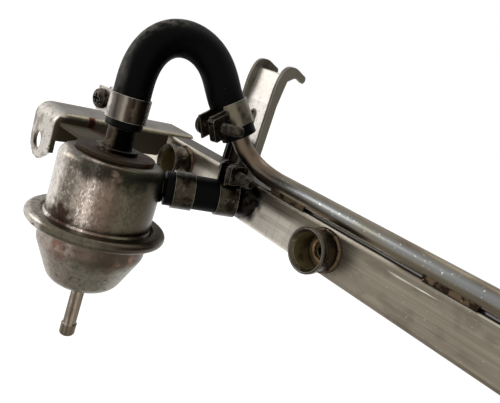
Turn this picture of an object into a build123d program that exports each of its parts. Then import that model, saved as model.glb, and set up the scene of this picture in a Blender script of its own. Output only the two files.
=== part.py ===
from build123d import *
import math
import os

# Fuel rail with a diaphragm pressure regulator, its hoses and its two brackets.
# Millimetres. X runs along the rail, -Y is the way the injector cups point, +Z is up.
# The origin is where the axis of the second injector cup meets the rail's front face.

os.makedirs("parts", exist_ok=True)

# ---- driving dimensions -----------------------------------------------------------------

# rail: a rectangular steel tube lying along X, its front face on the plane y = 0
RAIL_HEIGHT = 19.0
RAIL_DEPTH = 14.0
RAIL_WALL = 1.5
RAIL_CORNER = 2.0
RAIL_LEFT = -141.0
RAIL_RIGHT = 240.0
CAP_THICK = 2.0
RAIL_TOP = RAIL_HEIGHT / 2

# injector cups
CUP_PITCH = 100.0
CUP_PLACES = [-CUP_PITCH, 0.0, CUP_PITCH, 2 * CUP_PITCH]
CUP_LENGTH = 10.8
CUP_BODY_R = 7.8
CUP_LIP_R = 8.8
CUP_BORE_R = 6.8
CUP_BORE_DEPTH = 11.1
CUP_PORT_R = 3.2

# pipes and hoses
PIPE_R = 4.0
PIPE_BORE_R = 3.1
PIPE_Y = 3.0
PIPE_Z = RAIL_TOP + PIPE_R + 0.6
PIPE_RIGHT = 258.0
BEAD_R = 4.6
RETURN_HOSE_R = 7.6
INLET_HOSE_R = 7.4
HOSE_LAP = 15.0

# regulator, in its own frame: Z is its axis and z = 0 the middle of the rolled flange
REGULATOR_CENTRE = (-75.9, -52.6, -24.2)
REGULATOR_LEAN = (-1.9, -1.45, 0)
CAN_R = 21.9
CAN_TOP = 29.9
CAN_SHOULDER = 4.5
SHEET = 1.2
FLANGE_R = 29.2
FLANGE_HALF = 2.3
BOWL_R = 22.5
BOWL_BOTTOM_R = 13.8
BOWL_SHOULDER = -10.1
BOWL_BOTTOM = -28.2
NIPPLE_R = 2.85
NIPPLE_TIP = -53.3
NIPPLE_BEAD_R = 3.35
NECK_R = 5.8
NECK_BASE = 31.5
NECK_TOP = 42.0
BARB_TOP = 55.0
PORT_HEIGHT = 19.6
SEAT_Z = 5.0

# sheet metal brackets
BRACKET_SHEET = 1.6
ARM_LEFT = -140.5
ARM_RIGHT = -116.5
ARM_FRONT = -62.5
TONGUE_R = 16.2
HANGER_LEFT = -89.0
HANGER_RIGHT = -67.3

# hose clamps
WIDE_BAND = 10.0
NARROW_BAND = 8.6
BAND_THICK = 0.8


# ---- small shape helpers ----------------------------------------------------------------

def turned(*points):
    """A solid turned about Z from the (radius, height) points of its half section."""
    outline = Polyline(*points, close=True)
    return revolve(make_face(Plane.XZ * outline), Axis.Z)


def disc(radius, low, high):
    return Pos(0, 0, low) * Cylinder(radius, high - low, align=(Align.CENTER, Align.CENTER, Align.MIN))


def ring(outer, inner, low, high):
    return disc(outer, low, high) - disc(inner, low - 1, high + 1)


def bent_tube(points, radii, outer, inner=None):
    """A tube of straight runs joined by tangent arcs."""
    path = FilletPolyline(*points, radius=radii)
    start = Plane(origin=path @ 0, z_dir=path % 0)
    tube = sweep(start * Circle(outer), path=path)
    if inner:
        tube -= sweep(start * Circle(inner), path=path)
    return tube


def along(start, end):
    """A placement whose Z runs from start towards end."""
    return Plane(origin=start, z_dir=Vector(*end) - Vector(*start)).location


def save(shape, name):
    shape.label = name
    export_step(shape, "parts/" + name + ".step")


# ---- rail tube, end caps and injector cups ----------------------------------------------

def rail_section(inset):
    height = RAIL_HEIGHT - 2 * inset
    depth = RAIL_DEPTH - 2 * inset
    return RectangleRounded(depth, height, RAIL_CORNER - inset * 0.8)


def rail_length(sketch, low, high):
    frame = Plane(origin=(low, RAIL_DEPTH / 2, 0), x_dir=(0, 1, 0), z_dir=(1, 0, 0))
    return extrude(frame * sketch, high - low)


HOSE_STUB = (-49.5, 0.0, 0.0)
regulator_place = Pos(*REGULATOR_CENTRE) * Rot(*REGULATOR_LEAN)
port_start = (regulator_place * Pos(0, 0, PORT_HEIGHT)).position
inlet_axis = along(port_start, HOSE_STUB)
INLET_REACH = (Vector(*HOSE_STUB) - port_start).length


def facing_front(x):
    """A placement on the rail's front face whose Z points forward, along -Y."""
    return Plane(origin=(x, 0, 0), x_dir=(1, 0, 0), z_dir=(0, -1, 0)).location


rail = rail_length(rail_section(0), RAIL_LEFT, RAIL_RIGHT) - rail_length(
    rail_section(RAIL_WALL), RAIL_LEFT - 1, RAIL_RIGHT + 1
)
for x in CUP_PLACES:
    rail -= facing_front(x) * disc(CUP_BODY_R, -RAIL_WALL - 1, 1)
rail -= inlet_axis * disc(PIPE_R, INLET_REACH - 6, INLET_REACH + 5)
save(rail, "rail_tube")

INLET_STUB_R = 5.0
left_cap = rail_length(rail_section(0), RAIL_LEFT - CAP_THICK, RAIL_LEFT)
left_cap += rail_length(rail_section(RAIL_WALL), RAIL_LEFT, RAIL_LEFT + 3)
save(left_cap, "rail_end_cap_left")
right_cap = rail_length(rail_section(0), RAIL_RIGHT, RAIL_RIGHT + CAP_THICK)
right_cap += rail_length(rail_section(RAIL_WALL), RAIL_RIGHT - 3, RAIL_RIGHT)
supply_place = Plane(origin=(RAIL_RIGHT, RAIL_DEPTH / 2, 0), z_dir=(1, 0, 0)).location
right_cap -= supply_place * disc(INLET_STUB_R, -5, 5)
save(right_cap, "rail_end_cap_right")

supply_stub = supply_place * turned(
    (PIPE_BORE_R, -3), (INLET_STUB_R, -3), (INLET_STUB_R, CAP_THICK + 2), (PIPE_R, CAP_THICK + 2.5),
    (PIPE_R, 22), (BEAD_R, 22.6), (BEAD_R, 24.2), (PIPE_R, 25.0), (PIPE_R, 28), (PIPE_BORE_R, 28)
)
save(supply_stub, "supply_stub")

cup_floor = CUP_LENGTH - CUP_BORE_DEPTH
cup_section = (
    (CUP_PORT_R, -RAIL_WALL), (CUP_BODY_R, -RAIL_WALL), (CUP_BODY_R, CUP_LENGTH - 3.6),
    (CUP_LIP_R, CUP_LENGTH - 2.2), (CUP_LIP_R, CUP_LENGTH - 0.5), (CUP_LIP_R - 0.5, CUP_LENGTH),
    (CUP_BORE_R + 1.1, CUP_LENGTH), (CUP_BORE_R, CUP_LENGTH - 1.6), (CUP_BORE_R, cup_floor),
    (CUP_PORT_R, cup_floor - 0.5)
)
for number, x in enumerate(CUP_PLACES, 1):
    save(facing_front(x) * turned(*cup_section), "injector_cup_" + str(number))

# ---- return pipe along the rail's top, with the saddles it is brazed to -------------------

PIPE_FREE_END = (-60.8, -16.2, 38.7)
PIPE_BENDS = [11.5, 13.5, 26]
pipe_route = [
    PIPE_FREE_END, (-53.5, -6.3, 22.7), (-49.0, -0.1, 16.55), (-38.8, PIPE_Y, PIPE_Z),
    (PIPE_RIGHT, PIPE_Y, PIPE_Z)
]
pipe = bent_tube(pipe_route, PIPE_BENDS, PIPE_R, PIPE_BORE_R)
pipe_end = Plane(origin=(PIPE_RIGHT, PIPE_Y, PIPE_Z), z_dir=(-1, 0, 0)).location
pipe += pipe_end * turned((PIPE_R - 0.4, 3), (BEAD_R, 3.6), (BEAD_R, 5.2), (PIPE_R - 0.4, 6.0))
save(pipe, "return_pipe")

SADDLE_LENGTH = 20.0
SADDLE_PLACES = [-26.0, 50.0, 138.0, 226.0]
saddle_blank = Pos(0, PIPE_Y + 0.6, RAIL_TOP + 1.1) * Box(SADDLE_LENGTH, 7.2, 2.2)
saddle_blank -= Pos(0, PIPE_Y, PIPE_Z) * Rot(0, 90, 0) * Cylinder(PIPE_R, SADDLE_LENGTH + 2)
for number, x in enumerate(SADDLE_PLACES, 1):
    save(Pos(x, 0, 0) * saddle_blank, "pipe_saddle_" + str(number))

# ---- regulator bracket: one folded sheet --------------------------------------------------

arm_top = RAIL_TOP + BRACKET_SHEET
WEB_BOTTOM = -2.4
TAB_BOTTOM = -14.9
TAB_HOLE_X = -131.9
TAB_HOLE_Z = -6.7
TAB_HOLE_R = 4.4
FRONT_FOLD_R = 7.0
SIDE_FOLD_R = 2.6
WEB_END = -2.0
PAST = 1.0


def arm_form(inset):
    """The pressing's outer form, made smaller by inset on its three walled sides."""
    past = PAST if inset else 0.0
    low = (ARM_LEFT - past, ARM_FRONT + inset, TAB_BOTTOM - past)
    size = (ARM_RIGHT - inset - low[0], RAIL_DEPTH + past - low[1], arm_top - inset - low[2])
    form = Pos(*low) * Box(*size, align=Align.MIN)
    top_front = form.edges().filter_by(Axis.X).group_by(Axis.Z)[-1].sort_by(Axis.Y)[0]
    form = fillet(top_front, FRONT_FOLD_R - inset)
    top_side = form.edges().filter_by(Axis.Y).group_by(Axis.Z)[-1].sort_by(Axis.X)[-1]
    upright = form.edges().filter_by(Axis.Z).group_by(Axis.Y)[0].sort_by(Axis.X)[-1]
    return fillet([top_side, upright], SIDE_FOLD_R - inset)


bracket = arm_form(0) - arm_form(BRACKET_SHEET)
# the web stops short of the rail's front, and its lower edge lies level with the rail's middle
web_waste = Polyline(
    (RAIL_DEPTH + PAST, RAIL_TOP), (WEB_END, RAIL_TOP), (WEB_END, 3.0), (WEB_END - 4, WEB_BOTTOM),
    (ARM_FRONT + SIDE_FOLD_R, WEB_BOTTOM), (ARM_FRONT + SIDE_FOLD_R, TAB_BOTTOM - PAST),
    (RAIL_DEPTH + PAST, TAB_BOTTOM - PAST), close=True
)
web_frame = Plane(origin=(ARM_RIGHT - 5, 0, 0), x_dir=(0, 1, 0), z_dir=(1, 0, 0))
bracket -= extrude(web_frame * make_face(web_waste), 10)
# the tab narrows below the web and ends in a blunt point round its screw hole
tab_waste = Polyline(
    (ARM_LEFT - PAST, -5.5), (ARM_LEFT, -5.5), (ARM_LEFT + 1.0, -10.5), (ARM_LEFT + 6.5, TAB_BOTTOM + 0.4),
    (ARM_LEFT + 12.5, TAB_BOTTOM), (ARM_RIGHT - 7.0, TAB_BOTTOM + 2.5), (ARM_RIGHT - 0.8, TAB_BOTTOM + 6.6),
    (ARM_RIGHT - 0.8, WEB_BOTTOM), (ARM_RIGHT + PAST, WEB_BOTTOM), (ARM_RIGHT + PAST, TAB_BOTTOM - PAST),
    (ARM_LEFT - PAST, TAB_BOTTOM - PAST), close=True
)
front_view = Plane(origin=(0, ARM_FRONT - 2, 0), x_dir=(1, 0, 0), z_dir=(0, -1, 0))
bracket -= extrude(front_view * make_face(tab_waste), -6)
bracket -= extrude(front_view * (Pos(TAB_HOLE_X, TAB_HOLE_Z) * Circle(TAB_HOLE_R)), -6)
# the tongue leaves the web's middle and ends in the round seat under the regulator's neck
tongue = disc(TONGUE_R, CAN_TOP, NECK_BASE)
TONGUE_WIDTH = 17.0
STRAP_FROM = -40.2
strap = Pos(STRAP_FROM, 0, CAN_TOP) * Box(
    -STRAP_FROM - 10, TONGUE_WIDTH, NECK_BASE - CAN_TOP, align=(Align.MIN, Align.CENTER, Align.MIN)
)
tongue = regulator_place * (tongue + strap)
bore = regulator_place * disc(NECK_R - 1.8, CAN_TOP - 3, NECK_BASE + 3)
tongue -= bore
bracket += tongue
bracket -= regulator_place * disc(CAN_R, 0, CAN_TOP)
save(bracket, "regulator_bracket")

# ---- hanger bracket: an upright channel whose two sides end in hooks ------------------------

HANGER_FOOT = -8.0
HANGER_BACK = 18.4
HANGER_WEB_TOP = 57.0
HOOK_TOP = 61.6
HOOK_RISE = 45.0
hook_tip = ThreePointArc((30.4, 59.2), (31.4, 57.4), (30.0, 55.6))
hook_back = Spline(
    (RAIL_DEPTH, HOOK_RISE), (14.8, 54.6), (18.2, 60.6), (22.0, HOOK_TOP), (30.4, 59.2),
    tangents=[(0, 1), (1, -0.3)]
)
hook_front = Spline((30.0, 55.6), (24.4, 56.8), (20.6, 54.6), (18.6, 42.0), tangents=[(-1, 0.25), (0, -1)])
side_edge = Polyline(
    (18.6, 42.0), (HANGER_BACK, HANGER_FOOT), (RAIL_DEPTH, HANGER_FOOT), (RAIL_DEPTH, HOOK_RISE)
)
side_sheet = make_face([hook_back, hook_tip, hook_front, side_edge])


def hanger_side(x):
    frame = Plane(origin=(x, 0, 0), x_dir=(0, 1, 0), z_dir=(1, 0, 0))
    return extrude(frame * side_sheet, BRACKET_SHEET)


hanger = hanger_side(HANGER_LEFT) + hanger_side(HANGER_RIGHT - BRACKET_SHEET)
web_line = Polyline(
    (HANGER_BACK, HANGER_FOOT), (18.6, 42.0), (19.6, 50.0), (20.6, HANGER_WEB_TOP),
    (20.6 - BRACKET_SHEET, HANGER_WEB_TOP), (19.6 - BRACKET_SHEET, 50.0), (18.6 - BRACKET_SHEET, 42.0),
    (HANGER_BACK - BRACKET_SHEET, HANGER_FOOT), close=True
)
web_frame = Plane(origin=(HANGER_LEFT, 0, 0), x_dir=(0, 1, 0), z_dir=(1, 0, 0))
hanger += extrude(web_frame * make_face(web_line), HANGER_RIGHT - HANGER_LEFT)
# the stiffening groove pressed into the web: hollow on the rail's side, raised behind
GROOVE_X = -80.0
GROOVE_LOW = 8.0
GROOVE_HIGH = 37.0
GROOVE_WIDTH = 5.0
GROOVE_DEPTH = 0.8
groove_line = SlotOverall(GROOVE_HIGH - GROOVE_LOW, GROOVE_WIDTH, rotation=90)
groove_place = Plane(
    origin=(GROOVE_X, HANGER_BACK - BRACKET_SHEET, (GROOVE_LOW + GROOVE_HIGH) / 2),
    x_dir=(1, 0, 0), z_dir=(0, 1, 0)
)
hanger += extrude(groove_place * groove_line, BRACKET_SHEET + GROOVE_DEPTH)
hanger -= extrude(groove_place * offset(groove_line, -GROOVE_DEPTH), GROOVE_DEPTH)
hanger -= extrude(groove_place * offset(groove_line, -GROOVE_DEPTH), -GROOVE_DEPTH)
save(hanger, "hanger_bracket")

# ---- mounting tab at the rail's right end ---------------------------------------------------

FOOT_X = 176.0
FOOT_WIDTH = 24.0
foot_line = FilletPolyline((RAIL_DEPTH + 1.25, 6), (RAIL_DEPTH + 1.25, -14), (RAIL_DEPTH + 22, -14), radius=4)
foot_frame = Plane(origin=(FOOT_X, 0, 0), x_dir=(0, 1, 0), z_dir=(1, 0, 0))
foot = extrude(make_face(foot_frame * offset(foot_line, 1.25, side=Side.BOTH)), FOOT_WIDTH)
FOOT_HOLE = (FOOT_X + FOOT_WIDTH / 2, RAIL_DEPTH + 13.5, -14.0)
foot -= Pos(*FOOT_HOLE) * Cylinder(TAB_HOLE_R, 8)
save(foot, "mounting_tab_right")

# ---- regulator ---------------------------------------------------------------------------------


def cup_form(radius, corner, height):
    """The solid form of a round-shouldered cup, from z = 0 up to height."""
    line = FilletPolyline((0, height), (radius, height), (radius, 0), radius=corner)
    face = make_face(Plane.XZ * (line + Polyline((radius, 0), (0, 0), (0, height))))
    return revolve(face, Axis.Z)


SEAL_LOW = -1.0
SEAL_HIGH = 0.2
SEAL_R = 26.9
can = cup_form(CAN_R, CAN_SHOULDER, CAN_TOP) - cup_form(CAN_R - SHEET, CAN_SHOULDER - 1, CAN_TOP - SHEET)
can -= disc(NECK_R - 1.8, CAN_TOP - 5, CAN_TOP + 5)
can -= disc(CAN_R + 2, -1, SEAL_HIGH)
can += turned(
    (CAN_R - SHEET, SEAL_HIGH), (SEAL_R, SEAL_HIGH), (SEAL_R, SEAL_HIGH + 0.9),
    (CAN_R + 1.2, SEAL_HIGH + 0.9), (CAN_R, SEAL_HIGH + 2.4), (CAN_R - SHEET, SEAL_HIGH + 2.4)
)
can = regulator_place * can
can -= inlet_axis * disc(PIPE_R, 10, CAN_R + 5)
save(can, "regulator_can")


def bowl_form(inset):
    """The tapered bowl's outer form, made smaller by inset."""
    line = FilletPolyline(
        (0, BOWL_BOTTOM + inset), (BOWL_BOTTOM_R - inset * 0.6, BOWL_BOTTOM + inset),
        (BOWL_R - inset, BOWL_SHOULDER), (BOWL_R - inset, SEAL_LOW), radius=[8.5 - inset, 6.3]
    )
    closing = Polyline((BOWL_R - inset, SEAL_LOW), (0, SEAL_LOW), (0, BOWL_BOTTOM + inset))
    return revolve(make_face(Plane.XZ * (line + closing)), Axis.Z)


bowl = bowl_form(0) - bowl_form(SHEET)
RIM_INNER_R = 23.6
RIM_POCKET_R = 27.0
rim = FilletPolyline(
    (BOWL_R - SHEET, -FLANGE_HALF), (FLANGE_R, -FLANGE_HALF), (FLANGE_R, FLANGE_HALF),
    (RIM_INNER_R, FLANGE_HALF), (RIM_INNER_R, SEAL_HIGH + 0.9), (RIM_POCKET_R, SEAL_HIGH + 0.9),
    (RIM_POCKET_R, SEAL_LOW), (BOWL_R - SHEET, SEAL_LOW),
    radius=[FLANGE_HALF - 0.1, FLANGE_HALF - 0.1, 0.25, 0.25, 0.05, 0.05]
)
rim_close = Line((BOWL_R - SHEET, SEAL_LOW), (BOWL_R - SHEET, -FLANGE_HALF))
bowl += revolve(make_face(Plane.XZ * (rim + rim_close)), Axis.Z)
bowl -= disc(NIPPLE_R, BOWL_BOTTOM - 3, BOWL_BOTTOM + 4)
# a small knock on the rolled edge, at the front left
DENT_ANGLE = math.radians(228)
DENT_R = 7.0
dent_reach = FLANGE_R + DENT_R - 1.0
bowl -= Pos(dent_reach * math.cos(DENT_ANGLE), dent_reach * math.sin(DENT_ANGLE), 0.5) * Sphere(DENT_R)
save(regulator_place * bowl, "regulator_bowl")

neck = turned(
    (2.6, SEAT_Z), (3.6, SEAT_Z), (4.0, SEAT_Z + 1), (NECK_R - 1.8, CAN_TOP - SHEET),
    (NECK_R - 1.8, NECK_BASE), (NECK_R, NECK_BASE), (NECK_R, NECK_TOP - 0.5), (NECK_R - 0.5, NECK_TOP),
    (PIPE_R, NECK_TOP), (PIPE_R, BARB_TOP - 1), (PIPE_R - 0.4, BARB_TOP), (2.6, BARB_TOP)
)
save(regulator_place * neck, "regulator_neck")
COLLAR_R = 8.7
COLLAR_HIGH = 33.4
collar = ring(COLLAR_R, NECK_R, NECK_BASE, COLLAR_HIGH)
collar = chamfer(collar.edges().filter_by(GeomType.CIRCLE).sort_by(Axis.Z)[-1], 0.6)
save(regulator_place * collar, "neck_collar")

nipple = turned(
    (1.6, BOWL_BOTTOM + 2.6), (4.0, BOWL_BOTTOM + 2.6), (4.0, BOWL_BOTTOM + 1.2),
    (NIPPLE_R, BOWL_BOTTOM + 1.2), (NIPPLE_R, NIPPLE_TIP + 5.8), (NIPPLE_BEAD_R, NIPPLE_TIP + 5.2),
    (NIPPLE_BEAD_R, NIPPLE_TIP + 0.8), (NIPPLE_R, NIPPLE_TIP), (1.6, NIPPLE_TIP)
)
save(regulator_place * nipple, "vacuum_nipple")

STEM_R = 2.0
diaphragm = turned(
    (STEM_R, SEAL_LOW), (15.0, SEAL_LOW), (16.5, SEAL_LOW - 1.6), (18.0, SEAL_LOW - 1.6), (19.5, SEAL_LOW),
    (SEAL_R, SEAL_LOW), (SEAL_R, SEAL_HIGH), (19.0, SEAL_HIGH), (17.6, SEAL_LOW - 0.4),
    (16.9, SEAL_LOW - 0.4), (15.5, SEAL_HIGH), (STEM_R, SEAL_HIGH)
)
save(regulator_place * diaphragm, "regulator_diaphragm")
valve = turned(
    (0, SEAT_Z - 0.1), (6.0, SEAT_Z - 0.1), (6.0, SEAT_Z - 1.6), (STEM_R, SEAT_Z - 2.2),
    (STEM_R, -3.4), (0, -3.4)
)
save(regulator_place * valve, "valve_plate")
save(regulator_place * ring(11.0, STEM_R, SEAL_HIGH, SEAL_HIGH + 1.0), "diaphragm_backing")
spring_seat = turned(
    (STEM_R, SEAL_LOW), (12.5, SEAL_LOW), (12.5, SEAL_LOW - 3.6), (11.5, SEAL_LOW - 3.6),
    (11.5, SEAL_LOW - 1.2), (STEM_R, SEAL_LOW - 1.2)
)
save(regulator_place * spring_seat, "spring_seat")

SPRING_WIRE_R = 1.0
SPRING_R = 9.0
SPRING_TURNS = 6
spring_low = BOWL_BOTTOM + SHEET + SPRING_WIRE_R
spring_high = SEAL_LOW - 1.2 - SPRING_WIRE_R
coil = Helix((spring_high - spring_low) / SPRING_TURNS, spring_high - spring_low, SPRING_R)
wire_start = Plane(origin=coil @ 0, z_dir=coil % 0)
spring_wire = wire_start * RegularPolygon(SPRING_WIRE_R, 8)
spring = Pos(0, 0, spring_low) * sweep(spring_wire, path=coil, is_frenet=True)
save(regulator_place * spring, "regulator_spring")

# ---- inlet port, rail stub and the short hose between them -------------------------------------

HOSE_FROM = 23.2
HOSE_TO = INLET_REACH - 3.8
port = turned(
    (PIPE_BORE_R, CAN_R - SHEET - 1), (PIPE_R, CAN_R - SHEET - 1), (PIPE_R, CAN_R - 0.4), (6.6, CAN_R - 0.4),
    (6.6, HOSE_FROM - 1.2), (6.0, HOSE_FROM - 0.6), (PIPE_R, HOSE_FROM - 0.6), (PIPE_R, HOSE_FROM + 11),
    (PIPE_R - 0.4, HOSE_FROM + 12), (PIPE_BORE_R, HOSE_FROM + 12)
)
port = inlet_axis * port - regulator_place * disc(CAN_R, 0, CAN_TOP)
port += inlet_axis * ring(PIPE_R, PIPE_BORE_R, CAN_R - SHEET - 1, CAN_R + 0.5)
save(port, "inlet_port")

rail_stub = turned(
    (PIPE_BORE_R, HOSE_TO - 12), (PIPE_R - 0.4, HOSE_TO - 12), (PIPE_R, HOSE_TO - 11),
    (PIPE_R, HOSE_TO + 0.6), (6.0, HOSE_TO + 0.6), (7.2, HOSE_TO + 1.8), (7.2, INLET_REACH + 4),
    (PIPE_BORE_R, INLET_REACH + 4)
)
rail_stub = inlet_axis * rail_stub - Pos(0, RAIL_DEPTH / 2, 0) * Box(400, RAIL_DEPTH, RAIL_HEIGHT)
rail_stub += inlet_axis * ring(PIPE_R, PIPE_BORE_R, INLET_REACH - 1.5, INLET_REACH + 1.2)
save(rail_stub, "rail_stub")
save(inlet_axis * ring(INLET_HOSE_R, PIPE_R, HOSE_FROM, HOSE_TO), "inlet_hose")

# ---- return hose: up from the regulator, over and down onto the return pipe --------------------

hose_start = (regulator_place * Pos(0, 0, NECK_TOP)).position
hose_grip = (regulator_place * Pos(0, 0, NECK_TOP + 13.2)).position
hose_rise = (regulator_place * Pos(0, 0, NECK_TOP + 23)).position
pipe_dir = (Vector(*pipe_route[0]) - Vector(*pipe_route[1])).normalized()
hose_end = Vector(*PIPE_FREE_END) - pipe_dir * HOSE_LAP
hose_fall = hose_end + pipe_dir * 30.0
arch = Bezier(hose_grip, hose_rise, (-81.4, -53.3, 73.7), (-76.4, -10.5, 59.7), hose_fall, PIPE_FREE_END)
hose_path = Wire([Line(hose_start, hose_grip), arch, Line(PIPE_FREE_END, hose_end)])
hose_section = Plane(origin=hose_start, z_dir=hose_grip - hose_start)
return_hose = sweep(hose_section * Circle(RETURN_HOSE_R), path=hose_path)
return_hose -= sweep(hose_section * Circle(PIPE_R), path=hose_path)
save(return_hose, "return_hose")

# ---- hose clamps: band, screw and nut ----------------------------------------------------------

EAR_GAP = 5.0
EAR_PAST = 3.0
SCREW_R = 2.0
SCREW_HEAD_R = 4.2
NUT_THICK = 3.0
LONG_THREAD = 10.0
SHORT_THREAD = 3.0


def clamp(name, place, hose_radius, width, reach, skew, nut_side, thread_out):
    """A clamp round a hose whose axis is the placement's Z.

    Its ears point along X, turned by skew degrees about it, and the screw runs through them.
    """
    outer = hose_radius + BAND_THICK
    lug = Rot(skew, 0, 0)
    band = ring(outer, hose_radius, -width / 2, width / 2)
    band -= lug * Pos(hose_radius, 0, 0) * Box(6, EAR_GAP, width * 2)
    screw_x = outer + reach
    for side in (-1, 1):
        ear = Pos(hose_radius / 2, side * (EAR_GAP + BAND_THICK) / 2, 0) * Box(
            screw_x + EAR_PAST - hose_radius / 2, BAND_THICK, width,
            align=(Align.MIN, Align.CENTER, Align.CENTER)
        )
        band += lug * ear - disc(hose_radius, -width, width)
    band -= lug * Pos(screw_x, 0, 0) * Rot(90, 0, 0) * Cylinder(SCREW_R, EAR_GAP * 3)
    save(place * band, "clamp_band_" + name)
    face = EAR_GAP / 2 + BAND_THICK
    tip = face + NUT_THICK + thread_out
    screw = turned(
        (0, -face - 3.0), (2.0, -face - 3.0), (3.8, -face - 1.8), (SCREW_HEAD_R, -face), (SCREW_R, -face),
        (SCREW_R, tip - 0.5), (SCREW_R - 0.5, tip), (0, tip)
    )
    recess = Pos(0, 0, -face - 2.5) * (Box(4.4, 1.1, 2.0) + Box(1.1, 4.4, 2.0))
    screw_place = place * lug * Pos(screw_x, 0, 0) * Rot(-90, 0, 0)
    save(screw_place * (screw - recess), "clamp_screw_" + name)
    nut = Pos(0, 0, face + NUT_THICK / 2) * Box(nut_side, nut_side, NUT_THICK)
    nut -= Cylinder(SCREW_R, 30)
    nut = chamfer(nut.edges().filter_by(Axis.Z), 0.8)
    save(screw_place * nut, "clamp_nut_" + name)


def clamp_place(centre, ears, axis):
    return Plane(origin=centre, x_dir=ears, z_dir=axis).location


regulator_up = hose_grip - hose_start
inlet_dir = Vector(*HOSE_STUB) - port_start
neck_clamp_at = hose_start + regulator_up * 0.6
pipe_clamp_at = hose_end + pipe_dir * (HOSE_LAP - 5.2)
port_clamp_at = (inlet_axis * Pos(0, 0, HOSE_FROM + 7.7)).position
stub_clamp_at = (inlet_axis * Pos(0, 0, HOSE_TO - 4.8)).position
neck_place = clamp_place(neck_clamp_at, (-0.98, -0.20, 0), -regulator_up)
pipe_place = clamp_place(pipe_clamp_at, (0.25, -0.87, -0.42), pipe_dir)
port_place = clamp_place(port_clamp_at, (-0.84, 0.46, -0.27), inlet_dir)
stub_place = clamp_place(stub_clamp_at, (0, -0.08, 1.0), inlet_dir)
WIDE_NUT = 9.6
NARROW_NUT = 8.4
clamp("neck", neck_place, RETURN_HOSE_R, WIDE_BAND, 4.9, -5, WIDE_NUT, LONG_THREAD)
clamp("pipe", pipe_place, RETURN_HOSE_R, WIDE_BAND, 5.0, -20, WIDE_NUT, LONG_THREAD)
clamp("port", port_place, INLET_HOSE_R, NARROW_BAND, 4.4, 0, NARROW_NUT, SHORT_THREAD)
clamp("stub", stub_place, INLET_HOSE_R, NARROW_BAND, 3.9, 20, NARROW_NUT, LONG_THREAD)
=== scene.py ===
import math
import bmesh
import bpy
from mathutils import Matrix, Vector, noise as noise_field


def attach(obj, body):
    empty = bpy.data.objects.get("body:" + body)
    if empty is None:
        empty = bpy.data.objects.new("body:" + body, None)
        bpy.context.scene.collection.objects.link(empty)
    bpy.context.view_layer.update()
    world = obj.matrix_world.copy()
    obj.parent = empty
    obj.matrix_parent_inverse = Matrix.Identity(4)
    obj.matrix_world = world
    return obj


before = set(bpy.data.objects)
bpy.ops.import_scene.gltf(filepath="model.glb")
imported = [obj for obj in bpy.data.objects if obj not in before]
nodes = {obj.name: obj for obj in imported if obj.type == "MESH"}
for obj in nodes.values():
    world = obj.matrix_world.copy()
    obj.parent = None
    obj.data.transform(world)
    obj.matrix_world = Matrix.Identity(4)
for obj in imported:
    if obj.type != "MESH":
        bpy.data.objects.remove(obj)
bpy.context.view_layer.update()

# ---- studio --------------------------------------------------------------------------------------
# A white room, with the rail held in the air as its mounting screws hold it on an engine.
# Camera, lamps and cards stand in metres round the part's own frame, and the floor lies far below.
CAMERA_PLACE = Vector((0.1142, -0.1591, 0.0571))
CAMERA_RIGHT = Vector((0.6163, 0.7263, 0.3044))
CAMERA_DOWN = Vector((0.3832, 0.0611, -0.9216))
CAMERA_LENS = 38.1
SENSOR_WIDTH = 36.0
NEAREST_SEEN = 0.01
AIM = Vector((-0.03, -0.02, 0.0))
UPWARD = Vector((0, 0, 1))
SHADE_LIGHT = 0.6

camera_data = bpy.data.cameras.new("camera")
camera_data.sensor_width = SENSOR_WIDTH
camera_data.lens = CAMERA_LENS
camera_data.clip_start = NEAREST_SEEN
camera = bpy.data.objects.new("camera", camera_data)
bpy.context.collection.objects.link(camera)
turn = Matrix((CAMERA_RIGHT, -CAMERA_DOWN, CAMERA_DOWN.cross(CAMERA_RIGHT))).transposed()
camera.matrix_world = Matrix.Translation(CAMERA_PLACE) @ turn.to_4x4()
bpy.context.scene.camera = camera
bpy.context.scene.view_settings.view_transform = "Standard"


def lamp(name, place, size, watts):
    """A square lamp that shines at the part."""
    data = bpy.data.lights.new(name, "AREA")
    data.shape = "SQUARE"
    data.size = size
    data.energy = watts
    light = bpy.data.objects.new(name, data)
    facing = (AIM - Vector(place)).to_track_quat("-Z", "Y").to_matrix().to_4x4()
    light.matrix_world = Matrix.Translation(place) @ facing
    bpy.context.collection.objects.link(light)


def node_tree(owner):
    owner.use_nodes = True
    owner.node_tree.nodes.clear()
    return owner.node_tree


def join(tree, value, socket):
    """Links a socket to another, or sets its constant."""
    if isinstance(value, bpy.types.NodeSocket):
        tree.links.new(value, socket)
    else:
        socket.default_value = value


def maths(tree, operation, first, second=0.0):
    node = tree.nodes.new("ShaderNodeMath")
    node.operation = operation
    join(tree, first, node.inputs[0])
    join(tree, second, node.inputs[1])
    return node.outputs[0]


def clear_rays(tree):
    """1 for rays that show the background: seen, mirrored or seen through."""
    rays = tree.nodes.new("ShaderNodeLightPath").outputs
    seen = maths(tree, "MAXIMUM", rays["Is Camera Ray"], rays["Is Glossy Ray"])
    return maths(tree, "MAXIMUM", seen, rays["Is Transmission Ray"])


def stage_sheet(name, stand, width, height, material):
    """A flat sheet of the studio, whose Z is the Z of stand."""
    work = bmesh.new()
    spread = Matrix.Diagonal((width, height, 1, 1))
    bmesh.ops.create_grid(work, x_segments=1, y_segments=1, size=0.5, matrix=stand @ spread)
    mesh = bpy.data.meshes.new(name)
    work.to_mesh(mesh)
    work.free()
    mesh.materials.append(material)
    sheet = bpy.data.objects.new(name, mesh)
    bpy.context.collection.objects.link(sheet)
    return sheet


def shown(tree, shader):
    """Makes the shader what the tree's owner looks like."""
    out = tree.nodes.new("ShaderNodeOutputMaterial")
    tree.links.new(shader.outputs[0], out.inputs["Surface"])


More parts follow.
